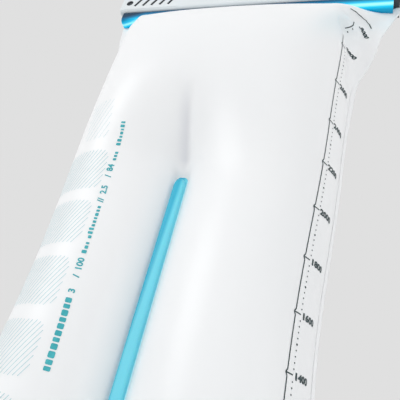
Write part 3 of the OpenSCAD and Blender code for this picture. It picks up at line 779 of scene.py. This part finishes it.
# ------------------------------------------------------------------ printing on the front film
class Print:
    def __init__(self, name, mat, lift=0.12):
        self.v, self.f, self.name, self.mat, self.lift = [], [], name, mat, lift

    def poly(self, pts, faces):
        n = len(self.v)
        self.v += [tuple(p) for p in pts]
        self.f += [tuple(n + i for i in f) for f in faces]

    def line(self, a, b, w, step=1.6):
        a, b = np.array(a, float), np.array(b, float)
        d = b - a
        L = np.hypot(*d)
        if L < 1e-6:
            return
        t = d / L
        s = np.array([-t[1], t[0]]) * w / 2
        n = max(1, int(math.ceil(L / step)))
        pts = []
        for i in range(n + 1):
            c = a + d * i / n
            pts += [c + s, c - s]
        self.poly(pts, [(2 * i, 2 * i + 1, 2 * i + 3, 2 * i + 2) for i in range(n)])

    def dot(self, c, r, n=10):
        pts = [(c[0] + r * math.cos(2 * math.pi * i / n), c[1] + r * math.sin(2 * math.pi * i / n)) for i in range(n)]
        self.poly(pts, [tuple(range(n))])

    def text(self, body, at, size, turn=0.0, bold=0.0, squeeze=1.0):
        """body in figures, its baseline from `at`, running along +p turned by `turn` degrees."""
        cu = bpy.data.curves.new("fig", "FONT")
        cu.body = body
        cu.size = 1.0
        cu.offset = bold
        cu.resolution_u = 3
        ob = bpy.data.objects.new("fig", cu)
        scene.collection.objects.link(ob)
        bpy.context.view_layer.update()
        dg = bpy.context.evaluated_depsgraph_get()
        me = bpy.data.meshes.new_from_object(ob.evaluated_get(dg))
        co = np.array([v.co[:2] for v in me.vertices]).reshape(-1, 2)
        c, s = math.cos(math.radians(turn)), math.sin(math.radians(turn))
        x, y = co[:, 0] * size, co[:, 1] * size * squeeze
        pts = np.stack([at[0] + x * c - y * s, at[1] - (x * s + y * c)], -1)   # q grows downwards
        self.poly(pts, [tuple(p.vertices) for p in me.polygons])
        width = float(co[:, 0].max()) * size if len(co) else 0
        bpy.data.objects.remove(ob)
        bpy.data.curves.remove(cu)
        bpy.data.meshes.remove(me)
        return width

    def build(self):
        pts = np.array(self.v)
        co, w = sample(0, pts[:, 0], pts[:, 1], self.lift)
        o = mesh_object(self.name, co * MM, self.f, self.mat, False)
        bm = bmesh.new()
        bm.from_mesh(o.data)
        n = surf_dir
        for f in bm.faces:
            f.normal_update()
        bm.to_mesh(o.data)
        bm.free()
        set_blend(o, "baffle_front", w)
        return o


surf_dir = -1
# the scale stands at the same distance from the edge all the way down; its top marks open up towards the closure
P_LINE = 75.4
TICKS = {}
for k in range(1, 15):
    vol = 200 * k
    if vol >= 1400:
        TICKS[vol] = float(np.interp(vol, [1400, 1600, 1800, 2000, 2200, 2400, 2600, 2800], [243.1, 217.9, 192.3, 166.3, 141.0, 115.2, 87.8, 57.6]))
    else:
        TICKS[vol] = 243.1 + (1400 - vol) / 200 * 24.6

sc = Print("print_scale", INK_SCALE)
lw = 0.56
vols = sorted(TICKS)
prev = TICKS[2800] - 11
for vol in reversed(vols):
    q = TICKS[vol]
    # main line broken at each mark by a small forked tick
    sc.line((P_LINE, prev + 1.1), (P_LINE, q - 1.6), lw)
    sc.line((P_LINE, q - 1.6), (P_LINE - 0.9, q - 0.2), lw)
    sc.line((P_LINE - 0.9, q - 0.2), (P_LINE, q + 1.1), lw)
    sc.line((P_LINE - 0.9, q - 0.2), (P_LINE + 3.2, q - 0.2), lw)
    prev = q
    nxt = TICKS.get(vol - 200)
    if nxt:
        for i in range(1, 10):
            qq = q + (nxt - q) * i / 10
            sc.dot((P_LINE + 3.4, qq), 0.36 if i != 5 else 0.5)
    lean = float(np.interp(vol, [1400, 2000, 2400, 2600, 2800], [4, 5, 8, 12, -6]))
    if vol < 2800:
        sc.text(str(vol), (P_LINE + 4.1, q + 1.2), 5.4, lean, 0.05, 0.72)
    else:
        sc.text(str(vol), (81.2, 49.5), 3.1, -17.0, 0.05, 1.45)
sc.line((P_LINE, prev + 1.1), (P_LINE, prev + 14), lw)
# topmost mark: its own figures and two short strokes beside the closure
sc.text("3000", (80.2, 21.6), 4.4, -54.0, 0.05, 0.56)
for path in (((71.8, 19.6), (75.3, 16.4), (78.5, 14.8), (81.2, 14.3), (83.4, 15.9), (84.9, 18.7)), ((77.1, 35.1), (77.5, 31.4), (77.9, 26.4), (77.7, 21.7))):
    for c0, c1 in zip(path, path[1:]):
        sc.line(c0, c1, 0.45)
sc.dot((78.8, 29.5), 0.4)
sc.dot((79.0, 34.0), 0.4)
sc.dot((79.4, 40.0), 0.4)
sc.dot((79.4, 45.5), 0.4)
o_scale = sc.build()


# side line of print: bars and figures, reading upwards
side = Print("print_side", INK_SIDE)


def p_at(x, z):
    r = int(np.argmin(np.abs(X[0, :, NU2 // 2, 2] - z)))
    j = int(np.argmin(np.abs(X[0, r, : NU2 // 2, 0] - x)))
    return float(P[r, j]), float(Q[r, j])


def side_p(q):
    return np.interp(q, [118, 131, 161, 191, 217, 240, 262], [-33.0, -34.1, -37.0, -36.1, -34.9, -33.2, -32.0])


def side_pt(along_q, across):
    """Reading direction up the bag: distance along from the foot of the line, distance across it."""
    q = Q_SIDE - along_q
    return float(side_p(q)) + across, q


Q_SIDE = 261.5


def bar(c0, c1, h, base=0.0):
    """Rounded bar along the reading direction (upwards), from c0 to c1."""
    pts = []
    n = 8
    r = min(h, c1 - c0) * 0.22
    for cx, cy, a0 in ((c1 - r, r, -90), (c1 - r, h - r, 0), (c0 + r, h - r, 90), (c0 + r, r, 180)):
        for i in range(4):
            a = math.radians(a0 + 30 * i)
            pts.append((cx + r * math.cos(a), cy + r * math.sin(a)))
    out = [side_pt(x, -y - base) for x, y in pts]
    side.poly(out, [tuple(range(len(out)))])


def figures(t, at, size, bold=0.0):
    n0 = len(side.v)
    side.text(t, (0.0, 0.0), size, 0.0, bold)
    for i in range(n0, len(side.v)):
        x, y = side.v[i]
        side.v[i] = side_pt(at + x, y)


def row(c0, c1, w, gap, h, seed):
    """A word's place taken by small plain blocks of uneven width."""
    r = np.random.default_rng(seed)
    c = c0
    while c < c1 - w * 0.6:
        ww = w * float(r.uniform(0.75, 1.3))
        bar(c, min(c + ww, c1), h * (1.0 if h > 2.5 else float(r.choice([0.8, 0.8, 1.15]))), 0.1)
        c += ww + gap


# a heavy row of blocks, then figures with light blocks between them
row(0.0, 31.4, 2.3, 0.7, 2.9, 3)
figures("3", 33.4, 4.2, 0.03)
figures("/", 40.8, 4.2, 0.035)
figures("100", 44.0, 4.2, 0.03)
row(52.6, 58.4, 1.3, 0.7, 2.0, 4)
row(60.4, 78.6, 1.3, 0.75, 2.0, 5)
figures("//", 80.4, 4.2, 0.035)
figures("2.5", 85.2, 4.2, 0.03)
figures("/", 95.4, 4.2, 0.035)
figures("84", 99.0, 4.2, 0.035)
row(105.6, 112.0, 1.3, 0.7, 2.0, 6)
row(114.6, 128.4, 1.3, 0.75, 2.0, 7)
o_side = side.build()


# large hatched shapes along the left margin: plain rounded blocks, clipped diagonals
hatch = Print("print_hatch", INK_HATCH)


def in_block(p, q, blocks):
    for (cx, cy, hx, hy, r) in blocks:
        dx = max(abs(p - cx) - (hx - r), 0)
        dy = max(abs(q - cy) - (hy - r), 0)
        if dx * dx + dy * dy < r * r:
            return True
    return False


def hatched(blocks, holes, pitch, w, p_lo, p_hi, q_lo, q_hi, slope=1.15):
    d = np.array([1.0, -slope]) / math.hypot(1, slope)
    n = np.array([slope, 1.0]) / math.hypot(1, slope)
    lo = min(n @ np.array(c) for c in ((p_lo, q_lo), (p_hi, q_lo), (p_lo, q_hi), (p_hi, q_hi)))
    hi = max(n @ np.array(c) for c in ((p_lo, q_lo), (p_hi, q_lo), (p_lo, q_hi), (p_hi, q_hi)))
    k = int(math.floor(lo / pitch))
    while k * pitch < hi:
        base = n * (k * pitch)
        ts = np.arange(-600, 600, 0.5)
        pts = base[None] + ts[:, None] * d[None]
        ok = (pts[:, 0] > p_lo) & (pts[:, 0] < p_hi) & (pts[:, 1] > q_lo) & (pts[:, 1] < q_hi)
        run = None
        for t, pt, good in zip(ts, pts, ok):
            inside = bool(good) and in_block(pt[0], pt[1], blocks) and not in_block(pt[0], pt[1], holes)
            if inside and run is None:
                run = pt
            if not inside and run is not None:
                hatch.line(run, pt, w, 2.5)
                run = None
        k += 1


blocks, holes = [], []
# seven equal plain rounded pads, evenly spaced
for i in range(7):
    blocks.append((-64.5, 130.5 + 31.0 * i, 23.5, 12.0, 5.0))
hatched(blocks, holes, 1.95, 0.30, -89, -41.0, 150, 340, 1.6)
hatched(blocks, holes, 2.6, 0.16, -60, -43.5, 100, 150, 1.6)
o_hatch = hatch.build()


# ------------------------------------------------------------------ baffle strips
def strip_mesh(name, sgn, mat):
    """Pill-shaped ridge with a thin welded foot, and the web behind it."""
    verts, faces = [], []
    long = 1.6
    inset = FOOT_W * long
    z0, z1 = STRIP_LO + inset, STRIP_HI - inset
    nseg, nst = 14, 40

    def ring_pts(a, h):
        pts = []
        for i in range(nseg + 1):
            t = math.pi * i / nseg
            pts.append((a * math.cos(t), z1 + a * long * math.sin(t)))
        for i in range(1, nst):
            pts.append((-a, z1 + (z0 - z1) * i / nst))
        for i in range(nseg + 1):
            t = math.pi + math.pi * i / nseg
            pts.append((a * math.cos(t), z0 + a * long * math.sin(t)))
        for i in range(1, nst):
            pts.append((a, z0 + (z1 - z0) * i / nst))
        return [(x, sgn * h, z) for x, z in pts]

    foot = FILM_Y + 0.02
    c = CAP_W / 2
    prof = [(FOOT_W - 0.05, foot), (FOOT_W, foot + 0.18), (FOOT_W - 0.15, foot + 0.34), (c + 0.45, foot + 0.42), (c + 0.12, foot + 0.55), (c, foot + 0.85),
            (c - 0.04, foot + 2.1), (c - 0.2, foot + 2.55), (c - 0.55, foot + 2.85), (c - 1.1, foot + 2.98), (c - 1.6, foot + 3.0)]
    rings = [ring_pts(a, h) for a, h in prof]
    n = len(rings[0])
    for r in rings:
        verts += r
    for k in range(len(rings) - 1):
        for i in range(n):
            j = (i + 1) % n
            faces.append((k * n + i, k * n + j, (k + 1) * n + j, (k + 1) * n + i))
    faces.append(tuple(range((len(rings) - 1) * n, len(rings) * n)))
    faces.append(tuple(reversed(range(n))))
    o = mesh_object(name, np.array(verts) * MM, faces, mat)
    bm = bmesh.new()
    bm.from_mesh(o.data)
    caps = [f for f in bm.faces if len(f.verts) > 8]
    bmesh.ops.triangulate(bm, faces=caps)
    # web and tongue or groove behind the film
    def box(x0, x1, y0, y1, za, zb):
        m = Matrix.Translation(((x0 + x1) / 2 * MM, (y0 + y1) / 2 * MM, (za + zb) / 2 * MM)) @ Matrix.Diagonal(((x1 - x0) * MM, (y1 - y0) * MM, (zb - za) * MM, 1))
        bmesh.ops.create_cube(bm, size=1.0, matrix=m)
    za, zb = STRIP_LO + 1.6, STRIP_HI - 1.6
    if sgn < 0:
        box(-0.9, 0.9, -(foot + 0.2), -2.4, za, zb)
        box(-1.3, 1.3, -2.6, 1.6, za, zb)
    else:
        box(-0.9, 0.9, 2.8, foot + 0.2, za, zb)
        box(-3.4, -1.45, -2.4, 3.0, za, zb)
        box(1.45, 3.4, -2.4, 3.0, za, zb)
        box(-1.6, 1.6, 1.9, 3.0, za, zb)
    bmesh.ops.recalc_face_normals(bm, faces=bm.faces)
    long_edges = [e for e in bm.edges if e.calc_length() > 0.06]
    bmesh.ops.subdivide_edges(bm, edges=long_edges, cuts=24, use_grid_fill=True)
    across = bm.verts.layers.float.new("across")
    for v in bm.verts:
        z = v.co.z / MM
        v[across] = v.co.x
        v.co.x += float(drift(np.interp(-z, [-STRIP_HI, -STRIP_LO], [Q_TOP, Q_BOT]))) * MM
    bm.to_mesh(o.data)
    bm.free()
    o.data.set_sharp_from_angle(angle=math.radians(40))
    return o


strip_f = strip_mesh("baffle_strip_front", -1, M_BAF_F)
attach(strip_f, "baffle_front")
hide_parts("front_baffle")
strip_r = strip_mesh("baffle_strip_rear", 1, M_BAF_R)
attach(strip_r, "baffle_rear")
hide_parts("rear_baffle")


# the two springs shorten and lengthen with what they push on
for name, other, axis, fixed in (("button_spring", "button", 2, -385.25), ("poppet_spring", "poppet", 1, -9.6)):
    coil = bpy.data.objects.new(name.replace("spring", "coil"), NODES[name].data.copy())
    scene.collection.objects.link(coil)
    coil.data.materials.clear()
    coil.data.materials.append(M_STEEL)
    coil.data.polygons.foreach_set("use_smooth", [True] * len(coil.data.polygons))
    co = np.empty(len(coil.data.vertices) * 3, np.float32)
    coil.data.vertices.foreach_get("co", co)
    reach = np.abs(co.reshape(-1, 3)[:, axis] / MM - fixed)
    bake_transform(coil, "bladder", other, start=(0, 0, -0.3), end=(0, 0, -0.4))
    coil.data.attributes["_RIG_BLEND"].data.foreach_set("value", (reach / reach.max()).astype(np.float32))
    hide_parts(name)


# ------------------------------------------------------------------ carried-over CAD nodes
LOOK = {
    "slider": M_SLIDER, "front_rail": M_RAIL_PAINTED_LIGHT, "rear_rail": M_RAIL_PAINTED_LIGHT, "rail_end_stop": M_DARK,
    "port_flange": M_CLEAR, "port_socket": M_DARK, "release_button": M_BUTTON, "latch_plate": M_STEEL,
    "button_spring": M_STEEL, "check_poppet": M_CLEAR, "poppet_seal": M_RUBBER, "poppet_spring": M_STEEL,
    "spring_retainer": M_CLEAR, "plug_stem": M_DARK, "plug_oring": M_RUBBER, "swivel_elbow": M_DARK,
    "elbow_oring": M_RUBBER, "drink_tube": M_TUBE, "valve_stem": M_DARK, "valve_oring": M_RUBBER,
    "twist_collar": M_DARK, "bite_sheath": M_SHEATH,
}
ROUND = {"slider": 0.35, "port_flange": 0.25, "port_socket": 0.5, "release_button": 0.3, "plug_stem": 0.2,
         "swivel_elbow": 0.3, "rail_end_stop": 0.3, "twist_collar": 0.2, "valve_stem": 0.2}
for name, mat in LOOK.items():
    ob = NODES[name]
    if not ob.material_slots:
        ob.data.materials.append(mat)
    for s in ob.material_slots:
        s.material = mat
    ob.data.polygons.foreach_set("use_smooth", [True] * len(ob.data.polygons))
    ob.data.set_sharp_from_angle(angle=math.radians(35))
    if name in ROUND:
        bv = ob.modifiers.new("round", "BEVEL")
        bv.width = ROUND[name] * MM
        bv.segments = 2
        bv.limit_method = "ANGLE"
        bv.angle_limit = math.radians(50)
        bv.use_clamp_overlap = True
        bv.harden_normals = False

# ------------------------------------------------------------------ floor, light, camera
low = min(v[2] for v in [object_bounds()[0]])
bpy.ops.mesh.primitive_plane_add(size=8.0, location=(0, 0, low - 0.002))
floor = bpy.context.object
floor.name = "floor"
fm, fnt, fb = new_mat("floor_pale")
fb.inputs["Base Color"].default_value = (0.70, 0.70, 0.70, 1)
fb.inputs["Roughness"].default_value = 0.7
floor.data.materials.append(fm)
floor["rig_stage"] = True

w = bpy.data.worlds.new("studio")
scene.world = w
w.use_nodes = True
wn = w.node_tree
bg = wn.nodes.get("Background") or wn.nodes.new("ShaderNodeBackground")
wo = wn.nodes.get("World Output") or wn.nodes.new("ShaderNodeOutputWorld")
bg.inputs[0].default_value = (0.90, 0.905, 0.91, 1)
seen = wn.nodes.new("ShaderNodeBackground")
seen.inputs[0].default_value = (0.745, 0.745, 0.745, 1)
lp = wn.nodes.new("ShaderNodeLightPath")
mx = wn.nodes.new("ShaderNodeMixShader")
wn.links.new(lp.outputs["Is Camera Ray"], mx.inputs[0])
wn.links.new(bg.outputs[0], mx.inputs[1])
wn.links.new(seen.outputs[0], mx.inputs[2])
wn.links.new(mx.outputs[0], wo.inputs[0])
scene.view_settings.view_transform = "Standard"
scene.view_settings.look = "None"
scene.view_settings.exposure = 0.0
scene.view_settings.gamma = 1.0


def area(name, loc, aim, size, power, col=(1, 1, 1)):
    l = bpy.data.lights.new(name, "AREA")
    l.shape = "DISK"
    l.size = size
    l.energy = power
    l.color = col
    o = bpy.data.objects.new(name, l)
    o.location = loc
    o.rotation_euler = (Vector(aim) - Vector(loc)).to_track_quat("-Z", "Y").to_euler()
    scene.collection.objects.link(o)
    return o


area("key", (-1.25, -1.15, 0.35), (0, 0, -0.2), 0.9, 8.0)
area("fill", (1.5, -0.75, -0.25), (0, 0, -0.2), 1.1, 4.2)
area("low", (0.2, -0.9, -0.5), (0, 0, -0.1), 0.7, 1.2)

# camera below and to the right, looking up at the upper part of the bag
AZ, EL, ROLL, DIST, TX, TZ, FPX = math.radians(22.49), math.radians(-29.62), math.radians(15.25), 279.24, 3.47, -142.04 + RAIL, 521.38
back = Vector((math.sin(AZ) * math.cos(EL), -math.cos(AZ) * math.cos(EL), math.sin(EL)))
C = Vector((TX, 0, TZ)) + back * DIST
fwd = -back
R0 = fwd.cross(Vector((0, 0, 1))).normalized()
U0 = R0.cross(fwd)
R = R0 * math.cos(ROLL) + U0 * math.sin(ROLL)
U = -R0 * math.sin(ROLL) + U0 * math.cos(ROLL)
cam_data = bpy.data.cameras.new("camera")
cam_data.sensor_width = 36.0
cam_data.lens = FPX / 400 * 36
cam_data.clip_start = 0.01
cam = bpy.data.objects.new("camera", cam_data)
scene.collection.objects.link(cam)
m = Matrix((R, U, back)).transposed().to_4x4()
m.translation = C * MM
cam.matrix_world = m
scene.camera = cam
